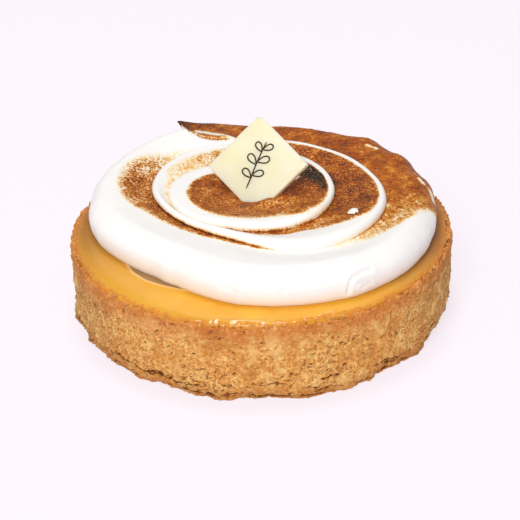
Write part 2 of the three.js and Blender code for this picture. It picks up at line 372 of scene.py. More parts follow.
class Finish:
    """A material with a Principled surface and the nodes that colour it."""

    def __init__(self, name, **constants):
        self.material = bpy.data.materials.new(name)
        self.material.use_nodes = True
        self.nodes = self.material.node_tree.nodes
        self.links = self.material.node_tree.links
        self.skin = self.nodes["Principled BSDF"]
        for socket, value in constants.items():
            name = socket.replace("_", " ").title().replace("Ior", "IOR")
            self.skin.inputs[name].default_value = value

    def add(self, kind, settings=None, inputs=None, output=0):
        """One node, its settings, what goes in, and which output is wanted."""
        node = self.nodes.new("ShaderNode" + kind)
        for name, value in (settings or {}).items():
            if name == "stops":
                self.set_stops(node.color_ramp, value)
            else:
                setattr(node, name, value)
        for name, value in (inputs or {}).items():
            self.feed(node.inputs[name], value)
        return Value(self, node.outputs[output])

    def feed(self, socket, value):
        """Links a value to a socket, or sets a plain number on it."""
        if isinstance(value, Value):
            self.links.new(value.socket, socket)
        else:
            socket.default_value = value

    def set_stops(self, ramp, stops):
        """Puts the colours of a ramp at their places."""
        while len(ramp.elements) < len(stops):
            ramp.elements.new(1)
        for element, (place, colour) in zip(ramp.elements, stops):
            element.position = place
            element.color = srgb(*colour)

    def place(self):
        """Where a point is on the tart, in metres."""
        return self.add("TexCoord", output=3)

    def painted(self, name):
        """A value that the mesh carries from point to point."""
        return self.add("Attribute", {"attribute_name": name}, output=2)

    def noise(self, size, detail=2.0, roughness=0.5, vector=None):
        """Cloudy noise from 0 to 1; its size is in millimetres."""
        inputs = {"Vector": vector or self.place(), "Scale": 1 / (size * MM), "Detail": detail,
                  "Roughness": roughness}
        return self.add("TexNoise", {"noise_dimensions": "3D"}, inputs)

    def blend(self, share, first, second):
        """The second colour over the first, by a share from 0 to 1."""
        settings = {"data_type": "RGBA", "blend_type": "MIX", "clamp_factor": True}
        return self.add("Mix", settings, {0: share, 6: first, 7: second}, output=2)

    def tinted(self, colour, layers):
        """Lays tints over a colour one after another, each by its own share."""
        for share, tint in layers:
            colour = self.blend(share, colour, srgb(*tint))
        return colour

    def ramp(self, value, stops):
        """A colour that follows a value through several stops."""
        return self.add("ValToRGB", {"stops": stops}, {"Fac": value})

    def bump(self, height, distance, strength=1.0):
        """Fine relief in the skin; its height is in millimetres."""
        inputs = {"Height": height, "Distance": distance * MM, "Strength": strength}
        return self.add("Bump", None, inputs)

    def wear(self, **varying):
        """Feeds what changes over the surface into the skin's own sockets."""
        for socket, value in varying.items():
            self.feed(self.skin.inputs[socket.replace("_", " ").title()], value)
        return self.material


def srgb(red, green, blue):
    """A colour given in 0-255 as it looks on a screen, made linear."""
    def linear(level):
        level /= 255
        return level / 12.92 if level <= 0.04045 else ((level + 0.055) / 1.055) ** 2.4
    return (linear(red), linear(green), linear(blue), 1.0)


def shortcrust_finish():
    """Dry golden pastry, browner at the rim, with dark pits and pale crumbs, painted shade towards the
    sides and in its hollows, and painted light on its raised lumps.
    """
    finish = Finish("shortcrust", roughness=0.8, specular_ior_level=0.25)
    height = finish.add("SeparateXYZ", None, {"Vector": finish.place()}, output=2) / MM
    cloud = finish.noise(7.0, 2)
    patch = finish.noise(2.8, 3, 0.6)
    butter = finish.noise(3.6, 2, 0.45)
    crumb = finish.noise(0.8, 3, 0.7)
    speck = finish.noise(0.34, 2, 0.7)
    x = finish.add("SeparateXYZ", None, {"Vector": finish.place()}) / (RIM_RADIUS * MM)
    tone = cloud * 0.5 + patch * 0.5
    colour = finish.ramp(tone, [(0.36, (200, 126, 54)), (0.5, (224, 152, 70)), (0.62, (236, 174, 92))])
    crumbly = 0.45 + tone.above(0.42, 0.56) * 0.55
    foot = ((crumb - 0.5) * 6 - height).above(-4.5, -0.5)
    rim = (height + (patch - 0.5) * 9 + (crumb - 0.5) * 4).above(13.5, 18.4)
    curd_stain = (height + (crumb - 0.5) * 3).above(18.4, 19.4)
    colour = finish.tinted(colour, (
        # Painted shade: darker towards the left and right sides of the wall
        ((x * x + (patch - 0.5) * 0.6).above(0.3, 1.0) * 0.6, (184, 140, 82)),
        (crumb.above(0.50, 0.64) * crumbly * 0.8, (252, 204, 124)),
        ((1 - crumb).above(0.50, 0.64) * crumbly * 0.8, (166, 94, 36)),
        (speck.above(0.58, 0.67) * crumbly * 0.65, (148, 78, 26)),
        ((1 - speck).above(0.57, 0.66) * crumbly * 0.85, (255, 226, 164)),
        (butter.above(0.57, 0.66) * 0.5, (248, 206, 130)),
        (foot * 0.5, (168, 96, 42)),
        (rim * 0.62, (204, 110, 42)),
        (curd_stain * 0.6, (236, 156, 58)),
        # Pale grains, and painted light on the raised lumps; dark pits, and painted shade in the hollows
        # and the sunken places
        (finish.painted("crumb") * 0.55, (252, 204, 128)),
        (finish.painted("hollow").above(0.08, 0.85) * 0.9, (112, 52, 14))))
    relief = crumb * 0.65 + speck * 0.35
    return finish.wear(base_color=colour, normal=finish.bump(relief, 0.6, 0.8))


def curd_finish():
    """Set lemon curd: deep yellow and glossy, with painted shade that turns it browner towards the back
    and the right.
    """
    finish = Finish("lemon_curd", roughness=0.2, specular_ior_level=0.5, subsurface_weight=0.2,
                    subsurface_radius=(3.0, 1.6, 0.5), subsurface_scale=MM)
    place = finish.place()
    x = finish.add("SeparateXYZ", None, {"Vector": place}) / MM
    y = finish.add("SeparateXYZ", None, {"Vector": place}, output=1) / MM
    cloud = finish.noise(9.0, 2)
    speck = finish.noise(0.45, 2)
    colour = finish.blend(cloud.above(0.3, 0.7), srgb(240, 170, 40), srgb(247, 184, 54))
    # Painted shade: the curd turns darker brown-orange towards the back, more so on the right
    torched = (y + x * 0.22 + (cloud - 0.5) * 12).above(-38, 3)
    edge = finish.painted("edge")
    crusty = (edge * (finish.noise(1.1, 3, 0.65) * 0.6 + speck * 0.4)).above(0.40, 0.50)
    colour = finish.tinted(colour, (
        # painted shade towards the back and the right
        (torched, (158, 102, 44)),
        (speck.above(0.66, 0.74) * 0.5, (200, 124, 40)),
        # A grey-brown wedge in front of the meringue's foot, then a painted highlight along its rim and on
        # the beads
        (finish.painted("syrup"), (180, 138, 88)),
        (finish.painted("syrup_edge") * 0.7, (250, 214, 150)),
        (edge * 0.4, (228, 152, 62)),
        (crusty * 0.7, (216, 134, 56))))
    return finish.wear(base_color=colour, roughness=cloud * 0.12 + 0.12 - edge * 0.06,
                       normal=finish.bump(finish.noise(1.4, 2), 0.05, 0.35))


def meringue_finish():
    """White meringue; where it is toasted it turns cream, gold, brown and nearly black."""
    finish = Finish("meringue", specular_ior_level=0.3)
    toast = finish.painted("toast")
    brushed = finish.add("Attribute", {"attribute_name": "brushed"}, output=1)
    streak = finish.add("TexNoise", {"noise_dimensions": "3D"},
                        {"Vector": brushed, "Scale": 1.1, "Detail": 2.0, "Roughness": 0.6})
    cloud = finish.noise(3.4, 3, 0.6)
    grain = finish.noise(0.5, 3, 0.75)
    torched = toast.above(0.03, 0.36)
    sugary = finish.painted("sugary")
    uneven = (cloud - 0.5) * 0.8 + (grain - 0.5) * sugary * 1.5 + (streak - 0.5) * 0.5
    level = toast + uneven * torched
    stops = [(0.07, (253, 250, 247)), (0.15, (253, 238, 206)), (0.25, (240, 190, 104)),
             (0.38, (210, 128, 30)), (0.54, (176, 86, 12)), (0.72, (130, 56, 10)), (0.88, (84, 38, 12)),
             (1.0, (42, 24, 12))]
    colour = finish.ramp(level, stops)
    # Painted highlights: pale golden sparkle specks on the toasted, sugary skin
    sparkle = finish.noise(0.32, 1).above(0.62, 0.70) * toast.above(0.35, 0.6) * sugary
    colour = finish.blend(sparkle * 0.65, colour, srgb(250, 196, 116))
    return finish.wear(base_color=colour, roughness=0.62 - torched * 0.2,
                       normal=finish.bump(grain * torched, 0.45, 0.6))


def plaque_finish():
    """Ivory white chocolate with a satin face."""
    finish = Finish("white_chocolate", roughness=0.32, specular_ior_level=0.4, subsurface_weight=0.8,
                    subsurface_radius=(4.0, 3.4, 2.2), subsurface_scale=MM)
    cloud = finish.noise(5.0, 2)
    colour = finish.blend(cloud.above(0.3, 0.7), srgb(251, 234, 196), srgb(252, 239, 206))
    return finish.wear(base_color=colour, roughness=cloud * 0.1 + 0.27,
                       normal=finish.bump(finish.noise(1.2, 2), 0.03, 0.3))


def dark_chocolate_finish():
    """Fine lines of dark chocolate."""
    finish = Finish("dark_chocolate", roughness=0.4, specular_ior_level=0.3)
    cloud = finish.noise(0.6, 2)
    return finish.wear(base_color=finish.blend(cloud, srgb(28, 18, 6), srgb(52, 36, 14)))


# ---- Shortcrust case ----------------------------------------------------------------------

# How far the crumbled foot stands out of round, by bearing, fading out up the wall
FOOT_OFFSETS = {
    -180: 0.9, -173: 1.1, -169: 0.6, -164.7: -0.7, -161: 0.0, -153: -0.1, -144: -0.6, -135: -0.1,
    -121: -1.1, -113: -0.2, -105.6: 0.0, -97: -0.6, -89: -0.7, -76: 0.0, -62.5: 0.5, -58: 0.3,
    -54.5: -1.4, -48: -0.9, -43.6: -0.6, -38: 0.3, -31: -0.6, -23.6: -1.4, -16: -1.6, -8: -0.4,
    5: 0.2, 18: -0.9, 30: 0.2, 64: -0.9, 80: 0.3, 112: -0.9, 130: 0.3, 158: -0.6, 180: 0.9}
FOOT_OFFSET_HEIGHT = 6.0

# Large crevices, each broken into several parts: bearing, height, half width, half height
# and tilt
CREVICES = (
    (-145, 4.4, 1.4, 0.34, -0.2), (-138, 3.9, 2.4, 0.40, -0.1), (-130, 3.3, 2.6, 0.45, -0.05),
    (-122, 3.4, 3.4, 0.50, -0.1), (-114, 3.2, 3.0, 0.34, 0.1), (-107, 1.3, 1.6, 0.45, 0),
    (-88, 0.9, 3.0, 0.42, 0.02), (-76, 0.8, 3.0, 0.42, 0), (-62, 0.8, 1.8, 0.36, 0.1),
    (-50, 1.2, 1.6, 0.40, 0.2), (-43, 1.2, 1.2, 0.45, 0.1), (-31, 3.4, 1.5, 0.55, 0.25),
    (-24, 1.6, 2.0, 0.4, 0.1), (-160, 1.4, 2.0, 0.4, 0), (-169, 2.2, 2.0, 0.35, -0.1),
    (160, 2.8, 2.4, 0.4, 0.1), (118, 1.6, 3.0, 0.4, 0), (84, 2.6, 2.4, 0.4, 0.1),
    (52, 1.3, 2.6, 0.4, 0), (20, 2.2, 2.0, 0.4, 0.1))
CREVICE_PARTS = 7
PIT_COUNT = 1300
GRAIN_COUNT = 2200
CRACK_COUNT = 110

# Lumps in the skin: height, size, seed and octaves
CRUST_LUMPS = ((0.24, 3.4, 1, 2), (0.26, 1.3, 5, 2), (0.16, 0.6, 9, 1))

# How far up the wall the foot is ragged, and how far it is crumbled as well
RAGGED_HEIGHT = 3.6
CRUMBLED_HEIGHT = 2.2

RIM_CRUMBS = 320
RIM_CRUMB_SIZES = (0.14, 0.40)
RIM_CRUMB_RADII = (41.1, 42.1)


def crust_rows():
    """Radius, height, the way the skin faces and its roughness, from the foot inwards."""
    rows = [(radius, 0, 0, -1, 0) for radius in (0, 20, 33, 36.4)]
    corner = FOOT_RADIUS - FOOT_ROUND
    for turn in np.linspace(0, math.pi / 2, 8)[:-1]:
        out, down = math.sin(turn), math.cos(turn)
        rows.append((corner + FOOT_ROUND * out, FOOT_ROUND * (1 - down), out, -down, out))
    for rise in np.linspace(0, 1, WALL_ROWS):
        height = mix(FOOT_ROUND, SHELL_HEIGHT - RIM_ROUND, rise)
        rows.append((mix(FOOT_RADIUS, RIM_RADIUS, rise), height, 1, 0, 1))
    corner = RIM_RADIUS - RIM_ROUND
    for turn in np.linspace(0, math.pi / 2, 7)[1:]:
        out, up = math.cos(turn), math.sin(turn)
        rows.append((corner + RIM_ROUND * out, SHELL_HEIGHT - RIM_ROUND * (1 - up), out, up, 1))
    for step in range(1, 6):
        rows.append((corner - 0.3 * step, SHELL_HEIGHT - 0.12 * step, 0, 1, 1))
    rows.append((RIM_RADIUS - WALL_THICKNESS, WALL_TOP, 0, 1, 0))
    rows.append((FOOT_RADIUS - WALL_THICKNESS, FLOOR_THICKNESS, 0, 1, 0))
    rows.append((0, FLOOR_THICKNESS, 0, 1, 0))
    return np.array(rows).T


def crust_marks(bearing, height, random):
    """Pits and short cracks in the skin, and grains that stand on it, over a grid."""
    hollow = np.zeros((len(bearing), len(height)))
    grains = np.zeros_like(hollow)
    spacing = 2 * math.pi / len(bearing)
    low, high = FOOT_ROUND, SHELL_HEIGHT

    def mark(marks, level, half_width, half_height, depth, tilt, place=None):
        """Adds one uneven oval mark, at any bearing unless one is given."""
        if place is None:
            place = random.uniform(0, 2 * math.pi)
        reach = int(half_width / RIM_RADIUS / spacing) + 2
        columns = np.arange(-reach, reach + 1) + int(place / spacing)
        across = (columns * spacing - place)[:, None] * RIM_RADIUS
        wander = 0.09 * np.sin(across * 1.9 + place * 40) + 0.09 * np.sin(across * 5.3 + place * 70)
        opening = half_height * (0.7 + 0.4 * np.sin(across * 3.7 + place * 90))
        up = height[None, :] - level - tilt * across - wander
        away = (across / half_width) ** 2 + (up / opening) ** 2
        columns = columns % len(bearing)
        marks[columns] = np.maximum(marks[columns], depth * np.clip(1 - away, 0, 1) ** 1.5)

    for _ in range(PIT_COUNT):
        size = random.uniform(0.14, 0.38)
        level = low + (high - low) * random.uniform(0, 1) ** 1.3
        mark(hollow, level, size * random.uniform(1, 1.9), size, random.uniform(0.2, 0.75),
             random.uniform(-0.3, 0.3))
    for _ in range(GRAIN_COUNT):
        size = random.uniform(0.18, 0.42)
        mark(grains, random.uniform(low, high), size * random.uniform(1, 1.6), size,
             random.uniform(0.08, 0.24), random.uniform(-0.3, 0.3))
    for _ in range(CRACK_COUNT):
        level = low + 4.6 * random.uniform(0, 1) ** 1.3
        mark(hollow, level, random.uniform(0.8, 3.6), random.uniform(0.16, 0.46),
             random.uniform(0.5, 1.2), random.uniform(-0.15, 0.15))
    for degrees, level, half_width, half_height, tilt in CREVICES:
        for step in range(CREVICE_PARTS):
            shift = (2 * step / (CREVICE_PARTS - 1) - 1) * random.uniform(0.5, 1)
            place = math.radians(degrees % 360) + shift * half_width / RIM_RADIUS
            mark(hollow, level + tilt * shift * half_width + random.uniform(-0.3, 0.3),
                 half_width * random.uniform(0.2, 0.5), half_height * random.uniform(0.5, 1.3),
                 random.uniform(0.8, 1.4), tilt + random.uniform(-0.2, 0.2), place)
    return hollow, grains


def crust_splits(skin):
    """Fine splits that run along the wall, more of them near the foot."""
    flattened = skin * np.array((1, 1, 3.4))
    split = np.clip(1 - np.abs(lumps(flattened, 3.1, 71, 2)) / 0.10, 0, 1)
    patches = smoothstep(lumps(skin, 6.5, 75), -0.15, 0.35)
    return 0.5 * split * patches * mix(0.12, 1, 1 - smoothstep(skin[..., 2], 4, 12))


def towards_foot(height, limit):
    """1 at the foot, falling to 0 at a limit up the wall."""
    return np.clip(1 - height / limit, 0, 1)


def shortcrust_case(finish):
    """The baked case, with its lumps, pits and crevices, ragged rim and crumbling foot."""
    random = np.random.default_rng(11)
    radius, height, out, up, rough = crust_rows()
    bearing = np.arange(CRUST_SECTORS) * 2 * math.pi / CRUST_SECTORS
    skin = at_bearing(radius[None, :], bearing[:, None], height[None, :])

    relief = layered(skin, CRUST_LUMPS)
    hollow, grains = crust_marks(bearing, height, random)
    hollow = np.maximum(hollow, crust_splits(skin))
    degrees = (np.degrees(bearing) + 180) % 360 - 180
    chips = -by_bearing(FOOT_OFFSETS, degrees)[:, None] * towards_foot(height, FOOT_OFFSET_HEIGHT) ** 1.3
    ragged = (0.3 + 0.6 * lumps(skin, 3.4, 21, 2)) * towards_foot(height, RAGGED_HEIGHT)
    crumbled = (0.25 + 0.5 * lumps(skin, 1.1, 23, 2)) * towards_foot(height, CRUMBLED_HEIGHT)
    uneven_rim = 0.3 * lumps(skin, 2.6, 25, 2) * (height > SHELL_HEIGHT - 0.8)

    push = (relief - 0.12 + grains - hollow) * rough
    inwards = (chips + ragged + crumbled) * (radius > FOOT_RADIUS - FOOT_ROUND - 0.1)
    height = np.maximum(height + (push + uneven_rim * rough) * up, 0)
    skin = at_bearing(radius + push * out - inwards, bearing[:, None], height)
    # Painted shade darkens the sunken lumps and the crumbled foot besides the pits and crevices, and
    # painted light brightens the raised lumps besides the grains
    sunken_shade = np.clip(-relief - 0.12, 0, 1) * 1.3 + np.clip(crumbled - 0.35, 0, 1) * 1.2
    dark = np.clip(hollow / 0.6 + sunken_shade, 0, 1.2) * rough
    pale = np.clip(grains / 0.2 + np.clip(relief - 0.1, 0, 1) * 1.4, 0, 1) * rough
    return round_piece("shortcrust_case", skin, finish, "crust_shell",
                       {"hollow": dark, "crumb": pale})


def grain_ball():
    """A small rough ball of unit radius, as points and triangles."""
    rings, around = 5, 8
    points = [(0, 0, -1)]
    for ring in range(1, rings):
        slant = math.pi * ring / rings
        for step in range(around):
            turn = 2 * math.pi * (step + ring / 2) / around
            out = math.sin(slant)
            points.append((out * math.cos(turn), out * math.sin(turn), -math.cos(slant)))
    points.append((0, 0, 1))
    triangles = [(0, 1 + (step + 1) % around, 1 + step) for step in range(around)]
    triangles += ring_triangles(rings - 1, around, first=1)
    top, base = len(points) - 1, 1 + (rings - 2) * around
    triangles += [(base + step, base + (step + 1) % around, top) for step in range(around)]
    return np.array(points), np.array(triangles)


def rim_crumbs(finish):
    """Loose crumbs, half sunk where the curd meets the rim."""
    random = np.random.default_rng(29)
    ball, faces = grain_ball()
    points, triangles = [], []
    for index in range(RIM_CRUMBS):
        size = random.uniform(*RIM_CRUMB_SIZES)
        radius = random.uniform(*RIM_CRUMB_RADII)
        middle = at_bearing(radius, random.uniform(0, 2 * math.pi), SHELL_HEIGHT - 0.05)
        stretch = random.uniform(0.7, 1.3, 3) * size
        rough = 1 + random.uniform(-0.22, 0.22, (len(ball), 1))
        points.append(middle + ball * rough * stretch)
        triangles.append(faces + index * len(ball))
    points = np.concatenate(points)
    shade = np.repeat(random.uniform(0, 1, (2, RIM_CRUMBS)), len(ball), axis=1)
    painted = {"hollow": shade[0] ** 3 * 0.6, "crumb": shade[1]}
    return piece("rim_crumbs", points, np.concatenate(triangles), finish,
                 painted=painted)


# ---- Lemon curd ------------------------------------------------------------------------

CURD_SECTORS = 1080
CURD_EDGE_ROUND = 1.6
CURD_EDGE_DROP = 0.6
CURD_GAP = 0.3

# Where the curd's underside steps out on to the rim: radius and height. Under the meringue
# its rows lie further apart
CURD_SHELF = ((41.4, WALL_TOP + 0.6), (41.8, WALL_TOP + 1.1))
CURD_COVERED_FROM = 27
CURD_COVERED_RADII = (25, 20, 10, 0)

# Lumps along the edge: height, size, seed and octaves
CURD_WOBBLE = ((0.36, 4.5, 31, 2), (0.24, 1.2, 35, 2))

# A grey-brown wedge on the curd in front of the meringue's foot, with a raised rim that carries a painted
# highlight: how far it reaches, by bearing
GREY_WEDGE_REACH = {-165: 30.0, -158: 32.3, -148: 33.3, -140: 33.2, -134: 32.5, -127: 31.6,
               -116: 30.2, -108: 28.0}
GREY_WEDGE_RIM_RISE = 0.2

# Glossy beads along the edge of the curd, painted with pale highlights as well: bearing, how far they run
# each way, and height
CURD_BEADS = ((-97.0, 9.0, 0.34), (-69.5, 2.6, 0.45))
CURD_BEAD_INSET = 1.2
CURD_BEAD_WIDTH = 0.55


def curd_rows():
    """Radius and height of the curd's skin, from its middle below to its middle above."""
    turn = np.linspace(0, math.pi / 2, 14)
    inside = WALL_THICKNESS + CURD_GAP
    floor = FLOOR_THICKNESS + CURD_GAP
    below = np.array(((0, floor), (FOOT_RADIUS - inside, floor), (RIM_RADIUS - inside, WALL_TOP + 0.2),
                      *CURD_SHELF))
    pale_mark = np.linspace(CURD_REACH - CURD_EDGE_ROUND, CURD_COVERED_FROM, 62)[1:]
    above = np.concatenate((pale_mark, CURD_COVERED_RADII))
    edge_radii = CURD_REACH - CURD_EDGE_ROUND * (1 - np.cos(turn))
    edge_heights = CURD_TOP - CURD_EDGE_DROP * (1 - np.sin(turn))
    radius = np.concatenate((below[:, 0], edge_radii, above))
    height = np.concatenate((below[:, 1], edge_heights, np.full(len(above), CURD_TOP)))
    return radius, height


def curd_filling():
    """The curd that fills the case, with its uneven edge, a grey-brown wedge by the meringue's foot with a
    painted highlight on its rim, and the beads with painted glints.
    """
    bearing = (np.arange(CURD_SECTORS) * 2 * math.pi / CURD_SECTORS)[:, None]
    radius, height = curd_rows()
    skin = at_bearing(radius, bearing, height)
    top = height > WALL_TOP + 1.2
    edge = smoothstep(radius, CURD_REACH - 2.6, CURD_REACH - 0.4) * top
    wobble = layered(skin, CURD_WOBBLE)
    rough = 0.05 * lumps(skin, 1.2, 37, 2) * edge ** 2
    degrees = np.degrees(np.arctan2(skin[..., 1], skin[..., 0]))
    # A grey-brown wedge in front of the meringue's foot, and a raised rim round it that carries a painted
    # highlight
    beyond = radius - by_bearing(GREY_WEDGE_REACH, degrees)
    syrup = (1 - smoothstep(beyond, -0.35, 0.05)) * top
    syrup_edge = np.exp(-((beyond - 0.1) / 0.3) ** 2) * top * (degrees > -163) * (degrees < -112)
    beads = sum(rise * np.exp(-((degrees - place) / run) ** 2) for place, run, rise in CURD_BEADS)
    beads = beads * np.exp(-((radius - CURD_REACH + CURD_BEAD_INSET) / CURD_BEAD_WIDTH) ** 2) * top
    level = 0.05 * lumps(skin, 9, 33) * top + GREY_WEDGE_RIM_RISE * syrup_edge + rough + beads
    # Painted highlight: pale glints laid on the beads
    pale = beads * np.clip(1.2 + 2.2 * lumps(skin, 0.8, 39, 2), 0, 2)
    skin = at_bearing(radius + (wobble - 0.1) * edge, bearing, height + level)
    return round_piece(
        "curd_filling", skin, curd_finish(), "lemon_curd",
        {"syrup": syrup, "syrup_edge": np.clip(syrup_edge + pale, 0, 1), "edge": edge ** 2})


# ---- Meringue swirl -----------------------------------------------------------------------

# Toasting on each turn of the swirl, by bearing: how far it reaches out from the
# foot of the next ridge (mm), its strength (0 to 1), how softly it ends there (mm), how
# far inside this turn's own ridge it begins (mm) and how softly (mm). On the outer turn it
# begins beyond the edge
OUTER_TOAST = [(*row, -9, 1) for row in (
    (118, 20, 0.53, 1), (60, 20, 0.56, 1), (0, 20, 0.52, 1), (-8, 12, 0.45, 1.5),
    (-15, 8.7, 0.39, 1.8), (-22, 6.8, 0.33, 2), (-30, 5.4, 0.27, 2), (-45, 3.2, 0.17, 1.6),
    (-53, 1.8, 0.12, 1.2), (-60, 0.4, 0.04, 0.6), (-75, 0.3, 0.08, 0.3), (-90, 0.5, 0.27, 0.4),
    (-100, 0.9, 0.42, 0.7), (-120, 1.5, 0.50, 1), (-150, 2.4, 0.55, 1.4), (-165, 3.4, 0.58, 1.8),
    (-173, 5.0, 0.56, 2), (-180, 6.3, 0.54, 2.2), (-195, 7.3, 0.51, 2.6), (-207, 7.4, 0.43, 2.8),
    (-218, 6.2, 0.28, 2.8), (-226, 4.5, 0.17, 2.6), (-243, 3.0, 0.06, 2.6))]
MIDDLE_TOAST = (
    (118, 0, 0, 0.4, 0, 0.4), (104, 0, 0, 0.4, 0, 0.4), (90, 9, 0.3, 1, 0.8, 0.4),
    (78, 14, 0.58, 1, 0.8, 0.35), (45, 14, 0.60, 1, 0.9, 0.4), (0, 14, 0.62, 1, 0.8, 0.5),
    (-15, 14, 0.60, 1, 0.8, 0.6), (-24, 11, 0.58, 1, 0.8, 0.8), (-30, 8.9, 0.55, 1.3, 0.4, 0.6),
    (-37, 7.6, 0.50, 1.6, 0, 0.6), (-45, 5.8, 0.46, 1.7, 0, 0.6), (-52, 4.2, 0.44, 1.6, 0, 0.6),
    (-60, 3.0, 0.44, 1.3, 0, 0.6), (-75, 2.2, 0.45, 1, 0, 0.6), (-90, 1.8, 0.45, 0.8, 0, 0.6),
    (-105, 1.5, 0.40, 0.7, 0, 0.6), (-120, 1.1, 0.30, 0.6, 0, 0.6),
    (-153, 0.6, 0.20, 0.5, 0, 0.6), (-180, 0.9, 0.16, 0.7, 0, 0.6),
    (-200, 1.6, 0.18, 1.2, 0, 0.6), (-212, 5.0, 0.17, 1.8, 0.5, 0.6),
    (-228, 6.0, 0.20, 1.8, 0.8, 0.7), (-243, 6.5, 0.31, 1.5, 1, 0.8))
EYE_TOAST = (
    (118, 6.5, 0.31, 1.5, 1, 0.8), (100, 7, 0.45, 1.5, 1.2, 0.5), (80, 30, 0.62, 1, 1.3, 0.4),
    (60, 30, 0.70, 1, 1.3, 0.4), (0, 30, 0.60, 1, 0.8, 0.5), (-25, 30, 0.53, 1, 0.4, 1.0),
    (-40, 30, 0.49, 1, 0.5, 1.4), (-50, 30, 0.48, 1, 0.9, 1.6), (-60, 30, 0.47, 1, 2.0, 2.0),
    (-75, 30, 0.49, 1, 2.8, 2.0), (-90, 30, 0.50, 1, 2.0, 1.9), (-105, 30, 0.51, 1, 1.7, 1.8),
    (-120, 30, 0.53, 1, 1.8, 1.7), (-135, 30, 0.56, 1, 2.4, 1.4), (-150, 30, 0.57, 1, 3.0, 1.1),
    (-180, 30, 0.58, 1, 2.9, 0.8), (-210, 30, 0.58, 1, 2.9, 0.6), (-243, 30, 0.56, 1, 3.5, 0.6))
CENTRE_TOAST = ((118, 30, 0.56, 1, 2.5, 0.6), (90, 30, 0.58, 1, 1.5, 0.5), (60, 30, 0.60, 1, -3, 0.5),
                (-243, 30, 0.58, 1, -3, 0.5))

# How grainy the toasted skin of the outer turn is, by bearing
OUTER_GRAIN = {118: 0.7, 60: 0.5, 10: 0.5, -25: 0.9, -60: 1.1, -160: 1.1, -200: 1.5, -243: 1.3}

# In plan, on the finished swirl: pale marks where the toasting is left out, some untoasted nicks and some
# painted glints, and where it is charred, partly as painted shadow beside the plaque
PALE_NICKS_AND_GLINTS = (
    (((24.9, 23.4), (27.0, 21.7)), 0.45), (((35.7, 6.4), (36.5, 4.9)), 0.4),
    (((37.9, 4.0), (38.4, -1.0)), 0.5), (((7.1, -15.2), (10.4, -14.3)), 0.35),
    (((7.1, 8.0), (8.9, 9.1)), 0.4), (((-13.5, 31.2), (-11.5, 30.7), (-6.4, 28.2), (-5.0, 27.5)), 0.85))
# Charred places beside the plaque's right corner, darkened partly as painted shadow of the plaque
CHARRED = ((((9.0, 12.0), (13.0, 9.0)), 3.2, 0.5), (((14.0, 12.5), (15.0, 9.0), (14.5, 3.0)), 1.7, 0.3))

# The glossy drop by the edge: its place in plan, radius and height
DROP = ((20.3, -7.9), 1.15, 0.75)

# Meringue pressed up round the plaque: a line in plan, spread and rise
PLAQUE_SWELLS = ((((-6.0, 1.2), (-2.0, 0.4)), 2.2, 0.15), (((2.5, -0.3), (5.0, 1.2)), 2.8, 1.4))

# A thin dark line at the foot of the outer and the middle ridge, partly painted contact shade and partly
# browning gathered in the crease: strength by bearing
OUTER_CREASE = {-80: 0, -90: 0.3, -110: 0.45, -130: 0.6, -150: 0.65, -168: 0.5, -180: 0.15, -195: 0}
MIDDLE_CREASE = {-60: 0, -75: 0.3, -95: 0.4, -120: 0.4, -145: 0.2, -160: 0}

# The faint scorched line along the edge at the back
SCORCH_INSET = 1.4
SCORCH_WIDTH = 1.1
SCORCH_STRENGTH = 0.22

# Lumps in the finished skin: height, size, seed and octaves
MERINGUE_SWELLS = ((0.10, 8, 61, 2), (0.03, 2.2, 63, 1))

# The torch's streaks run round the swirl and lean over on the way out
STREAK_RADIUS = 30
STREAK_LEAN = 29
STREAK_LENGTH = 0.3

# Soft folds on the outer roll, as bearing from the tart's axis and height
FOLD_RADIUS = 38.5
FOLD_WIDTH = 0.36
FOLDS = (
    (((-52, 24.9), (-56, 25.0), (-59.3, 24.5), (-60.8, 23.4), (-61.5, 21.2)), 0.55),
    (((-54, 23.2), (-57, 23.4), (-58.5, 22.6)), 0.3),
    (((-53, 22.2), (-56.5, 21.7)), 0.25),
    (((-84, 23.5), (-82, 24.3), (-79, 24.9)), 0.28),
    (((-106, 23.6), (-103, 23.9), (-100, 23.3)), 0.25))


def edge_radius(bearing):
    """Distance from the swirl's centre to the edge of the meringue."""
    reach = np.full_like(bearing, EDGE_RADII[0])
    for _ in range(8):
        x = SWIRL_CENTRE[0] + reach * np.cos(bearing)
        y = SWIRL_CENTRE[1] + reach * np.sin(bearing)
        eighths = np.arctan2(y, x) / (math.pi / 4) % 8
        reach = reach + through(EDGE_RADII, eighths, closed=True) - np.hypot(x, y)
    return reach


def toasting(table, degrees, crest, foot):
    """How toasted one turn of the swirl is, as a function of the radius."""
    rows = np.array(sorted(table)).T
    reach, strength, soft, margin, blur = (np.interp(degrees, rows[0], row) for row in rows[1:])

    def toast(radius):
        outer = 1 - smoothstep(radius - foot, reach - soft, reach + soft)
        return strength * outer * smoothstep(crest - radius, margin - blur, margin + blur)
    return toast


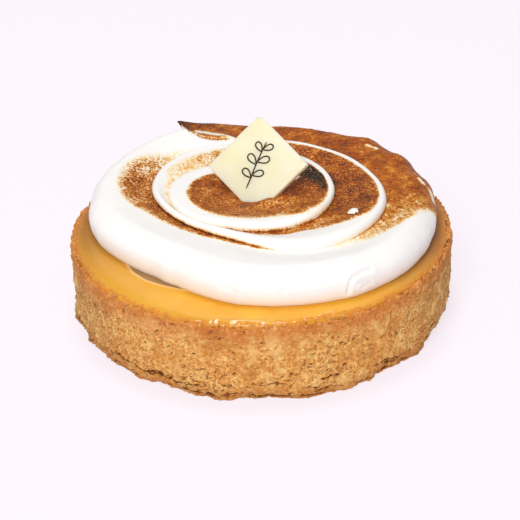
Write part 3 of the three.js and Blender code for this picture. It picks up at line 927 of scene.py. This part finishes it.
class Swirl:
    """The meringue's skin, laid row by row from its base, over its edge, to its centre.

    Every row goes once round, clockwise from the tip. The ridge winds inwards, so a line
    from the edge to the centre crosses it three times. Band 0 lies between the edge and
    the first crossing, and band 3 is the eye.
    """

    def __init__(self):
        self.turn = (np.arange(SWIRL_COLUMNS) / SWIRL_COLUMNS)[:, None]
        self.bearing = math.radians(TIP_BEARING) - self.turn * 2 * math.pi
        self.degrees = TIP_BEARING - 360 * self.turn
        self.rows = {name: [] for name in PLAIN_ROW}
        self.set_edge()
        self.set_bands()
        self.set_tip()

    def set_edge(self):
        """The outline in plan, and how its roll stands up."""
        wave = at_bearing(30.0, self.bearing, 0.0)
        bulge = sum(rise * np.exp(-((self.degrees - place) / spread) ** 2)
                    for place, spread, rise in EDGE_BULGES)
        self.edge = edge_radius(self.bearing) + layered(wave, EDGE_WAVES) + bulge
        self.roundness = by_bearing(EDGE_ROUNDS, self.degrees)
        self.lift = by_bearing(EDGE_LIFTS, self.degrees) + 0.6 * bulge

    def set_bands(self):
        """Where the ridge is crossed, and the width, depth and toasting of each band."""
        turn, edge = self.turn, self.edge
        self.ridge = through(RIDGE_RADII, turn * 8) + TIP_FLARE * np.exp(-turn / TIP_FLARE_TURNS)
        self.opening = 1 - np.exp(-turn / TIP_OPENING_TURNS)
        first = mix(edge - TIP_PERCH, np.minimum(self.ridge, edge), self.opening)
        second, third = (through(RIDGE_RADII, (turn + inner) * 8) for inner in (1, 2))
        self.lines = [edge, first, second, third, 0 * turn]
        self.widths, self.faces, self.depths, self.toasts = [], [], [], []
        for band, table in enumerate((OUTER_TOAST, MIDDLE_TOAST, EYE_TOAST, CENTRE_TOAST)):
            width = self.lines[band] - self.lines[band + 1]
            place = (turn + band) * 8
            face = np.minimum(through(RIDGE_FACES, place), FACE_LIMIT * width) * (band < EYE_BAND)
            foot = self.lines[band + 1] + face
            self.widths.append(width)
            self.faces.append(face)
            self.depths.append(through(RIDGE_DEPTHS, place) * (band < EYE_BAND))
            self.toasts.append(toasting(table, self.degrees, self.lines[band], foot))
        self.creases = [by_bearing(table, self.degrees) for table in (OUTER_CREASE, MIDDLE_CREASE)]
        self.creases.append(0 * turn)

    def set_tip(self):
        """The thin sheet at the tip: how far it reaches, its lip and how it curls up."""
        self.flap = 1 - smoothstep(self.turn, *FLAP_TURNS)
        self.curl = np.exp(-self.turn / TIP_CURL_TURNS)
        tip = self.flap * np.exp(-(self.turn / TIP_RISE_TURNS) ** 1.3)
        point = np.exp(-self.turn / TIP_POINT_TURNS)
        self.reach = self.edge + TIP_REACH * tip
        self.lip = mix(self.reach, np.minimum(self.ridge, self.reach), self.opening)
        self.flap_top = SHOULDER + TIP_RISE * tip - 0.1
        self.lip_top = mix(self.dome(self.lines[1]) + LIP_THICKNESS, self.flap_top, point)
        self.lip_thickness = mix(LIP_THICKNESS, POINT_THICKNESS, point)

    def dome(self, radius):
        """Height of the swirl's upper side before the ridge is cut into it."""
        distance = self.edge - radius
        rolled = np.sqrt(1 - (1 - np.clip(distance / self.roundness, 0, 1)) ** 2)
        rise = (CREST - SHOULDER) * smoothstep(distance, 5.5, 12)
        rise = rise + self.lift * (smoothstep(distance, 0, 3) - smoothstep(distance, 5, 14))
        return mix(EDGE_HEIGHT, SHOULDER, rolled) + rise

    def lay(self, **values):
        """Adds one row of points; what isn't given is as in a plain row."""
        for name, column in self.rows.items():
            column.append(values.get(name, PLAIN_ROW[name]) + 0 * self.turn)

    def lay_side(self):
        """The rows underneath, and those up the tucked-in side."""
        for share in (0, 0.5, 0.9):
            self.lay(radius=share * (self.edge - EDGE_TUCK), height=MERINGUE_FOOT)
        for slant in np.linspace(1.35, 0, SIDE_ROWS + 1)[:-1]:
            self.lay(radius=self.edge - EDGE_TUCK * (1 - math.cos(slant)),
                     height=EDGE_HEIGHT - (EDGE_HEIGHT - MERINGUE_FOOT) * math.sin(slant))

    def sheet_row(self, share):
        """One row of the tip's sheet: first up its outer edge, then across it.

        At the very tip that edge hugs the turn below and only the thin sheet stands out.
        """
        climb = min(share / SHEET_EDGE_SHARE, 1)
        across = max(share - SHEET_EDGE_SHARE, 0) / (1 - SHEET_EDGE_SHARE)
        peel = max(climb - SHEET_HUG_SHARE, 0) / (1 - SHEET_HUG_SHARE)
        hugging = self.edge - TIP_PERCH * min(climb / SHEET_HUG_SHARE, 1) ** 2
        wall_radius = mix(mix(self.edge, self.reach, climb), mix(hugging, self.reach, peel), self.curl)
        wall_height = mix(mix(EDGE_HEIGHT, self.flap_top, climb),
                          mix(self.dome(hugging), self.flap_top, peel), self.curl)
        sag = SHEET_SAG * math.sin(math.pi * across) * np.clip((self.reach - self.lip) / 6, 0, 1)
        rounded = 0.25 * (1 - min(across * 8, 1)) ** 2 * climb * (1 - self.curl)
        if across < 0.04:
            burnt = 0.95 * mix(climb ** 4, peel, self.curl)
        else:
            burnt = 0.55 + 0.4 * math.exp(-across / 0.06) + 0.3 * self.curl
        return {"radius": mix(wall_radius, self.lip, across), "toast": burnt,
                "height": mix(wall_height, self.lip_top, across) - sag - rounded,
                "lean": TIP_LEAN * across * self.curl}

    def slope_row(self, band, share):
        """One row of the gentle slope from a crest down to the foot of the next ridge."""
        late = smoothstep(self.turn + band, 0.85, 1.0)
        inner = mix(share ** 1.35, share, late)
        radius = self.lines[band] - (self.widths[band] - self.faces[band] * math.cos(FACE_DIP)) * inner
        toast = self.toasts[band](radius)
        if band == 0:
            scorched = np.exp(-((self.edge - radius - SCORCH_INSET) / SCORCH_WIDTH) ** 2)
            toast = toast + SCORCH_STRENGTH * scorched * smoothstep(self.degrees, 0, 20)
        # The dark line at the foot: partly painted shade, partly browning
        if share == 1 and band < EYE_BAND:
            toast = toast + self.creases[band]
        cut = self.depths[band] * smoothstep(inner, mix(0.3, 0, late), 1)
        return {"radius": radius, "height": self.dome(radius) - cut, "toast": toast, "lean": 0}

    def lip_row(self, share):
        """One row of the lip of the tip's sheet: round its thin edge, then back under it."""
        roll = math.pi * min(share / LIP_ROLL_SHARE, 1)
        under = max(share - LIP_ROLL_SHARE, 0) / (1 - LIP_ROLL_SHARE)
        radius = self.lip - 0.5 * self.lip_thickness * math.sin(roll)
        height = self.lip_top - 0.5 * self.lip_thickness * (1 - math.cos(roll))
        return {"radius": mix(radius, self.lines[1], under),
                "height": mix(height, self.dome(self.lines[1]), under),
                "toast": LIP_TOAST * (share < 0.65), "lean": TIP_LEAN * (1 - share) * self.curl}

    def face_row(self, band, share):
        """One row of the steep face, from the foot of a ridge up to its crest."""
        crest, face, dip = self.lines[band + 1], self.faces[band], math.sin(FACE_DIP)
        foot = crest + face * math.cos(FACE_DIP)
        slant = mix(-FACE_DIP, math.pi / 2, share)
        rise = (math.sin(slant) + dip) / (1 + dip)
        below, above = self.toasts[band](foot), self.toasts[band + 1](crest)
        toast = np.maximum(below * (1 - share) ** 2.5 + above * share ** 2, np.minimum(below, above))
        return {"radius": crest + face * math.cos(slant),
                "height": mix(self.dome(foot) - self.depths[band], self.dome(crest), rise),
                # The dark line at the foot: partly painted shade, partly browning
                "toast": toast + self.creases[band] * max(1 - 3.5 * share, 0), "lean": 0}

    def lay_bands(self):
        """The rows from the edge to the centre, with the tip's sheet over the outer turn."""
        for band in range(EYE_BAND + 1):
            sheet = self.flap * (band == 0)
            sugary = by_bearing(OUTER_GRAIN, self.degrees) if band == 0 else 1
            for share in np.linspace(0, 1, SLOPE_ROWS) ** 1.1:
                slope, over = self.slope_row(band, share), self.sheet_row(share)
                self.lay(sugary=sugary, **{name: mix(slope[name], over[name], sheet) for name in slope})
            if band < EYE_BAND:
                for share in np.arange(1, FACE_ROWS) / FACE_ROWS:
                    face, over = self.face_row(band, share), self.lip_row(share)
                    self.lay(**{name: mix(face[name], over[name], sheet) for name in face})
        self.lay(height=CREST)

    def grid(self):
        """The points of the skin, how toasted and how sugary they are, and what is on top."""
        self.lay_side()
        self.lay_bands()
        rows = {name: np.concatenate(columns, axis=1) for name, columns in self.rows.items()}
        on_top = rows["height"] > EDGE_HEIGHT + 0.1
        eye = EYE_DEPTH * np.exp(-(rows["radius"] / EYE_RADIUS) ** 4) * on_top
        bearing = self.bearing + np.radians(rows["lean"])
        skin = at_bearing(rows["radius"], bearing, rows["height"] - eye, SWIRL_CENTRE)
        return skin, rows["toast"], rows["sugary"], on_top


def finished_swirl(skin, toast, on_top):
    """Adds the pale nicks and painted glints, the charred places with their painted shadow, a drop and the
    swell round the plaque.
    """
    frayed = 0.4 * lumps(skin, 1.3, 55, 2)
    # Pale marks: untoasted nicks, and painted glints
    for line, half_width in PALE_NICKS_AND_GLINTS:
        pale_mark = np.exp(-((away_from(skin, line) + frayed * half_width) / half_width) ** 2) * on_top
        toast = toast * (1 - pale_mark)
        skin[..., 2] += 0.12 * pale_mark
    # Charred places, darkened partly as painted shadow beside the plaque's right corner
    for line, spread, strength in CHARRED:
        toast = toast + strength * np.exp(-(away_from(skin, line) / spread) ** 2) * (toast > 0.3)
    for line, spread, rise in PLAQUE_SWELLS:
        skin[..., 2] += rise * np.exp(-(away_from(skin, line) / spread) ** 2) * on_top
    middle, radius, rise = DROP
    away = np.linalg.norm(skin[..., :2] - np.array(middle), axis=-1) / radius
    skin[..., 2] += rise * np.sqrt(np.clip(1 - away ** 2, 0, 1)) * on_top
    toast = np.where(away < 1.02, 0, toast + 0.2 * np.exp(-((away - 1.2) / 0.2) ** 2) * on_top)
    return skin, toast


def swirl_triangles(columns, rows):
    """The strips between columns; the last one joins the first one band further in."""
    triangles = strip_triangles(columns, rows, closed=False)
    band = SLOPE_ROWS + FACE_ROWS - 1
    side = rows - 1 - EYE_BAND * band - SLOPE_ROWS
    last = (columns - 1) * rows + np.arange(rows)
    onward = np.arange(rows)
    onward[side:] = np.minimum(onward[side:] + band, rows - 1)
    lower = np.stack((last[:-1], onward[:-1], onward[1:]), axis=1)
    upper = np.stack((last[:-1], onward[1:], last[1:]), axis=1)
    # The end of the tip, round the place where it leaves the turn that passes under it
    perch = side + TIP_PERCH_ROW
    round_it = range(side - 1, side + band)
    fan = [(perch, row, row + 1) for row in round_it if perch not in (row, row + 1)]
    return np.concatenate((triangles, lower, upper, np.array(fan)[:, ::-1]))


def fold_depth(points):
    """How deep the soft folds cut into the outer roll, with a slight swell beside them."""
    reach = np.hypot(points[:, 0], points[:, 1])
    degrees = np.degrees(np.arctan2(points[:, 1], points[:, 0]))
    per_degree = math.radians(FOLD_RADIUS)
    spread = np.stack((degrees * per_degree, points[:, 2]), axis=1)
    depth = np.zeros(len(points))
    for line, strength in FOLDS:
        line = [(bearing * per_degree, height) for bearing, height in line]
        away = away_from(spread, line)
        depth += strength * (np.exp(-(away / FOLD_WIDTH) ** 2) - 0.12 * np.exp(-((away - 0.9) / 0.5) ** 2))
    return depth * (reach > 28)


def meringue_swirl():
    """The swirl of meringue, softly uneven, and grainy where it is toasted."""
    skin, toast, sugary, on_top = Swirl().grid()
    skin, toast = finished_swirl(skin, toast, on_top)
    columns, rows = toast.shape
    centred = skin[..., :2] - SWIRL_CENTRE
    distance = np.linalg.norm(centred, axis=-1)
    swept = np.arctan2(centred[..., 1], centred[..., 0]) + distance / STREAK_LEAN
    brushed = at_bearing(STREAK_RADIUS, swept, STREAK_LENGTH * distance)
    painted = {"toast": toast.ravel(), "sugary": sugary.ravel(), "brushed": brushed.reshape(-1, 3)}
    points, triangles, painted = welded(skin.reshape(-1, 3), swirl_triangles(columns, rows), painted)
    triangles = outward(points, triangles)
    normals = point_normals(points, triangles)
    torched = smoothstep(painted["toast"], 0.1, 0.5)
    soft = layered(points, MERINGUE_SWELLS)
    grainy = 0.06 * lumps(points, 0.9, 65, 2)
    points = points + normals * (soft + grainy * torched - fold_depth(points))[:, None]
    return piece("meringue_swirl", points, triangles, meringue_finish(),
                 "meringue", painted)


# ---- White-chocolate plaque ---------------------------------------------------------------

PLAQUE_BEVEL = 0.22
PLAQUE_SIDE_POINTS = 10

# A sprig of leaves on its face, in millimetres from the middle. Each leaf: its place on
# the stem in steps of the list, its lean in degrees and its length
LINE_WIDTH = 0.34
LINE_HEIGHT = 0.07
STEM = ((-2.4, -5.4), (-1.3, -2.6), (-0.2, 0.4), (1.0, 3.2), (1.9, 5.2))
LEAVES = ((0.9, 62, 2.7), (1.1, -58, 2.7), (1.9, 58, 2.9), (2.1, -54, 2.9), (2.9, 52, 2.5),
          (3.1, -48, 2.5))
LEAF_FULLNESS = 0.34


def plaque_place():
    """Where the plaque stands: the middle of its face, its lean and its turn."""
    turned = (Matrix.Rotation(math.radians(PLAQUE_YAW), 4, "Z")
              @ Matrix.Rotation(math.radians(PLAQUE_LEAN), 4, "X")
              @ Matrix.Rotation(math.radians(PLAQUE_TURN), 4, "Z"))
    return Matrix.Translation(PLAQUE_CENTRE) @ turned


def plaque_outline(inset=0.0):
    """The square on its corner with blunted corners, as points round the outline."""
    half = PLAQUE_SIDE / math.sqrt(2) - inset * math.sqrt(2)
    outline = []
    for bearing in (0, 90, 180, 270):
        blunt = PLAQUE_TOP_BLUNT if bearing == 90 else PLAQUE_CORNER_BLUNT
        along = Vector((math.cos(math.radians(bearing)), math.sin(math.radians(bearing))))
        across = Vector((-along.y, along.x))
        for side in (-1, 0, 1):
            reach = half - blunt * (1 if side else 0.75)
            outline.append(along * reach + across * blunt * side)
    return outline


def chocolate_plaque():
    """The square plaque with softly rounded edges, facing the front."""
    rings = []
    for slant in np.linspace(0, math.pi / 2, 6):
        back = -PLAQUE_THICKNESS + PLAQUE_BEVEL * (1 - math.cos(slant))
        rings.append((PLAQUE_BEVEL * (1 - math.sin(slant)), back))
    for slant in np.linspace(0, math.pi / 2, 6):
        rings.append((PLAQUE_BEVEL * (1 - math.cos(slant)), -PLAQUE_BEVEL * (1 - math.sin(slant))))
    points = []
    for inset, height in rings:
        corners = plaque_outline(inset)
        for index, corner in enumerate(corners):
            following = corners[(index + 1) % len(corners)]
            for part in range(PLAQUE_SIDE_POINTS):
                spot = corner.lerp(following, part / PLAQUE_SIDE_POINTS)
                points.append((spot.x, spot.y, height))
    count = len(points) // len(rings)
    triangles = ring_triangles(len(rings), count)
    for ring, height, flip in ((0, -PLAQUE_THICKNESS, True), (len(rings) - 1, 0, False)):
        points.append((0, 0, height))
        for index in range(count):
            edge = (ring * count + index, ring * count + (index + 1) % count)
            triangles.append((*(edge[::-1] if flip else edge), len(points) - 1))
    place = plaque_place()
    points = np.array([place @ Vector(point) for point in points])
    return piece("chocolate_plaque", points, outward(points, np.array(triangles)), plaque_finish(),
                 "plaque")


def piped_line(line, width):
    """A fine raised line on the plaque's face, half round and tapered at its ends."""
    line = np.asarray(line, float)
    along = np.gradient(line, axis=0)
    along /= np.linalg.norm(along, axis=1, keepdims=True)
    side = np.stack((-along[:, 1], along[:, 0]), axis=1)
    share = np.linspace(0, 1, len(line))
    half = width / 2 * np.clip(6 * np.minimum(share, 1 - share) + 0.35, 0, 1)
    points = []
    for turn in np.linspace(0, math.pi, 7):
        flat = line + side * (half * math.cos(turn))[:, None]
        points.append(np.column_stack((flat, LINE_HEIGHT * math.sin(turn) * half / (width / 2) - 0.01)))
    skin = np.stack(points, axis=1)
    return skin.reshape(-1, 3), strip_triangles(*skin.shape[:2], closed=False)


def stem_at(steps):
    """Places on the sprig's stem, counted in steps of its list."""
    return np.stack([through([spot[axis] for spot in STEM], steps) for axis in (0, 1)], axis=-1)


def plaque_sprig():
    """A plain sprig of leaves, drawn on the plaque in dark chocolate."""
    lines = [stem_at(np.linspace(0, len(STEM) - 1, 60))]
    for at, lean, length in LEAVES:
        root = stem_at(np.array(at))
        ahead = stem_at(np.array(at + 0.1)) - root
        aim = math.atan2(ahead[1], ahead[0]) + math.radians(lean)
        turn = np.linspace(0, 2 * math.pi, 40)
        out = length * (1 - np.cos(turn)) / 2
        wide = LEAF_FULLNESS * length * np.sin(turn) * np.sin(turn / 2) * (1 if lean > 0 else -1)
        lines.append(root + np.stack((out * math.cos(aim) - wide * math.sin(aim),
                                      out * math.sin(aim) + wide * math.cos(aim)), axis=1))
    points, triangles, count = [], [], 0
    for line in lines:
        line_points, line_triangles = piped_line(line, LINE_WIDTH)
        points.append(line_points)
        triangles.append(line_triangles + count)
        count += len(line_points)
    place = plaque_place()
    points = np.array([place @ Vector(point) for point in np.concatenate(points)])
    return piece("plaque_sprig", points, np.concatenate(triangles), dark_chocolate_finish())


# ---- Floor, light and camera ----------------------------------------------------------------

# In metres: how far the floor reaches each way, and each light's place, size and power (W)
FLOOR_REACH = 3.0
SOFTBOXES = {"front_light": ((-0.2, -1.0, 0.95), 0.6, 12), "top_light": ((-0.03, 0.2, 1.3), 0.35, 5)}
LIT_PLACE = Vector((0, 0, 0.02))


def pale_floor():
    """A bright floor that keeps shadows faint."""
    finish = Finish("pale_floor", base_color=(0.26, 0.244, 0.26, 1), roughness=0.9,
                    specular_ior_level=0.0, emission_color=(1.0, 0.939, 1.0, 1), emission_strength=0.745)
    signs = ((-1, -1), (1, -1), (1, 1), (-1, 1))
    corners = [(x * FLOOR_REACH, y * FLOOR_REACH, 0) for x, y in signs]
    mesh = bpy.data.meshes.new("floor")
    mesh.from_pydata(corners, [], [(0, 1, 2, 3)])
    mesh.materials.append(finish.material)
    floor = bpy.data.objects.new("floor", mesh)
    bpy.context.scene.collection.objects.link(floor)


def softbox(name, place, size, power):
    """A square area light that faces the tart."""
    light = bpy.data.lights.new(name, "AREA")
    light.size = size
    light.energy = power
    lamp = bpy.data.objects.new(name, light)
    lamp.location = place
    lamp.rotation_euler = (Vector(place) - LIT_PLACE).to_track_quat("Z", "Y").to_euler()
    bpy.context.scene.collection.objects.link(lamp)


def studio():
    """Soft light from the front and above, in a faintly lit room."""
    world = bpy.data.worlds.new("studio")
    world.use_nodes = True
    sky = world.node_tree.nodes["Background"]
    sky.inputs["Color"].default_value = (1.0, 0.985, 0.99, 1)
    sky.inputs["Strength"].default_value = 0.3
    bpy.context.scene.world = world
    for name, (place, size, power) in SOFTBOXES.items():
        softbox(name, place, size, power)
    bpy.context.scene.view_settings.view_transform = "Standard"
    bpy.context.scene.view_settings.look = "None"


def camera():
    """A long lens, level with a place a little above the foot and rolled by a hair."""
    rise, roll = math.radians(CAMERA_RISE), math.radians(CAMERA_ROLL)
    back = Vector((0, -math.cos(rise), math.sin(rise)))
    right = Vector((1, 0, 0))
    up = back.cross(right)
    across = right * math.cos(roll) + up * math.sin(roll)
    upright = up * math.cos(roll) - right * math.sin(roll)
    place = back * CAMERA_DISTANCE * MM
    aim = (across * AIM_ACROSS + upright * AIM_UP) * MM
    view = (place - aim).normalized()
    across = upright.cross(view).normalized()
    upright = view.cross(across)
    lens = bpy.data.cameras.new("camera")
    lens.sensor_width = 36
    lens.lens = CAMERA_LENS
    lens.clip_start = 0.01
    made = bpy.data.objects.new("camera", lens)
    made.matrix_world = Matrix.Translation(place) @ Matrix((across, upright, view)).transposed().to_4x4()
    bpy.context.scene.collection.objects.link(made)
    bpy.context.scene.camera = made


camera()
studio()
pale_floor()
shortcrust = shortcrust_finish()
shortcrust_case(shortcrust)
rim_crumbs(shortcrust)
curd_filling()
meringue_swirl()
chocolate_plaque()
plaque_sprig()
